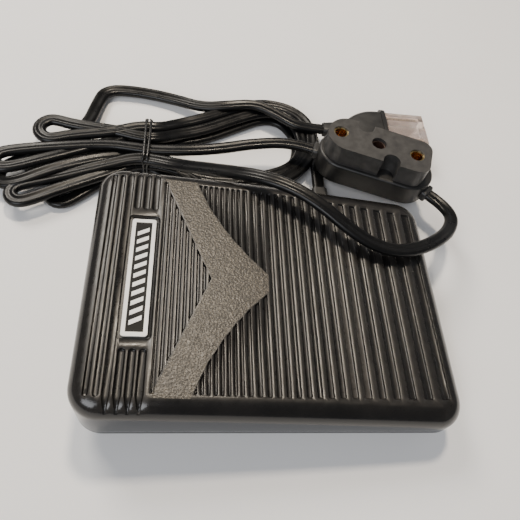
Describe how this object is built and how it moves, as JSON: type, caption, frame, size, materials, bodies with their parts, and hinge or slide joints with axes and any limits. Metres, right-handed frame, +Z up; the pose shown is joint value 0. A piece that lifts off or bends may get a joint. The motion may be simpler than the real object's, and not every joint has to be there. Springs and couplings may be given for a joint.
{
  "type": "sewing machine foot pedal",
  "caption": "Grooved rocking foot control with a tied cord hank, a three-hole machine connector and a mains plug under a clear blade cover.",
  "frame": {"origin": "on the ground at the centre of the pedal's base", "axes": "+X from the toe to the heel (hinge) end, +Y to the far side where the cord leaves, +Z up"},
  "size_m": [0.1805, 0.1562, 0.0343],
  "materials": {
    "tread_plastic": "black moulded ABS, satin grooved top and glossy shoulders",
    "label_white": "white printed border",
    "label_black": "black panel with plain slanted bars",
    "inner_plastic": "natural acetal",
    "screw_steel": "zinc plated",
    "base_plastic": "black moulded ABS, fine texture",
    "foot_rubber": "soft rubber",
    "rod_steel": "drawn steel",
    "spring_steel": "spring wire",
    "board_laminate": "phenolic laminate",
    "pot_case": "moulded case",
    "sink_aluminium": "mill finish",
    "component_black": "moulded epoxy",
    "capacitor_case": "yellow box",
    "disc_ceramic": "dipped disc",
    "ferrite": "ferrite",
    "enamel_copper": "enamelled copper wire",
    "resistor_body": "lacquered body",
    "diode_glass": "glass body",
    "cord_pvc": "black flexible PVC, satin",
    "lead_insulation": "thin PVC insulation",
    "cord_rubber": "black flexible PVC",
    "tie_plastic": "paper-thin plastic over wire",
    "connector_plastic": "black phenolic, satin",
    "socket_brass": "turned brass",
    "socket_dark": "dark socket",
    "plug_pvc": "black moulded PVC",
    "blade_metal": "plated brass",
    "clear_plastic": "clear soft plastic"
  },
  "bodies": {
    "base": {"base_tray": "base_plastic", "rubber_feet": "foot_rubber", "hinge_rod": "rod_steel", "return_spring_near": "spring_steel", "return_spring_far": "spring_steel", "circuit_board": "board_laminate", "board_screws": "screw_steel", "potentiometer_body": "pot_case", "heat_sink": "sink_aluminium", "triac": "component_black", "heat_sink_bolt": "screw_steel", "film_capacitor": "capacitor_case", "disc_capacitor": "disc_ceramic", "choke_core": "ferrite", "choke_winding": "enamel_copper", "resistors": "resistor_body", "trigger_diode": "diode_glass", "inner_cord_end": "cord_pvc", "cord_clamp": "inner_plastic", "clamp_screws": "screw_steel", "lead_wires": "lead_insulation", "strain_relief": "cord_rubber", "pedal_cord_tail": "cord_pvc", "pedal_cord_lead": "cord_pvc", "mains_cord_lead": "cord_pvc", "mains_cord_loop": "cord_pvc", "mains_cord_tail": "cord_pvc", "cord_hank": "cord_pvc", "twist_tie": "tie_plastic", "connector_shell": "connector_plastic", "connector_face": "connector_plastic", "brass_sockets": "socket_brass", "centre_socket": "socket_dark", "connector_screws": "screw_steel", "connector_bushing_left": "cord_rubber", "connector_bushing_right": "cord_rubber", "plug_body": "plug_pvc", "plug_relief": "plug_pvc", "plug_blades": "blade_metal"},
    "tread": {"tread_cover": "tread_plastic", "label_plate": "label_white", "label_panel": "label_black", "actuator_fork": "inner_plastic", "fork_screws": "screw_steel"},
    "lever": {"pot_shaft": "rod_steel", "wiper_lever": "inner_plastic"},
    "cover": {"blade_cover": "clear_plastic"}
  },
  "joints": [
    {"name": "tread_press", "type": "hinge", "parent": "base", "child": "tread", "pos_m": [0.0508, 0, 0.0072], "axis": [0, -1, 0], "range_deg": [0, 3.2], "stiffness_Nm_per_rad": 6, "springref_deg": -3.44, "deforming": ["return_spring_near", "return_spring_far"]},
    {"name": "lever_turn", "type": "hinge", "parent": "base", "child": "lever", "pos_m": [0.006, 0, 0.013], "axis": [0, -1, 0], "range_deg": [0, 9.77]},
    {"name": "cover_pull", "type": "slide", "parent": "base", "child": "cover", "axis": [1, 0, 0], "range_m": [0, 0.02]}
  ],
  "couplings": [
    {"joint": "lever_turn", "follows": "tread_press", "ratio": 3.0364}
  ]
}
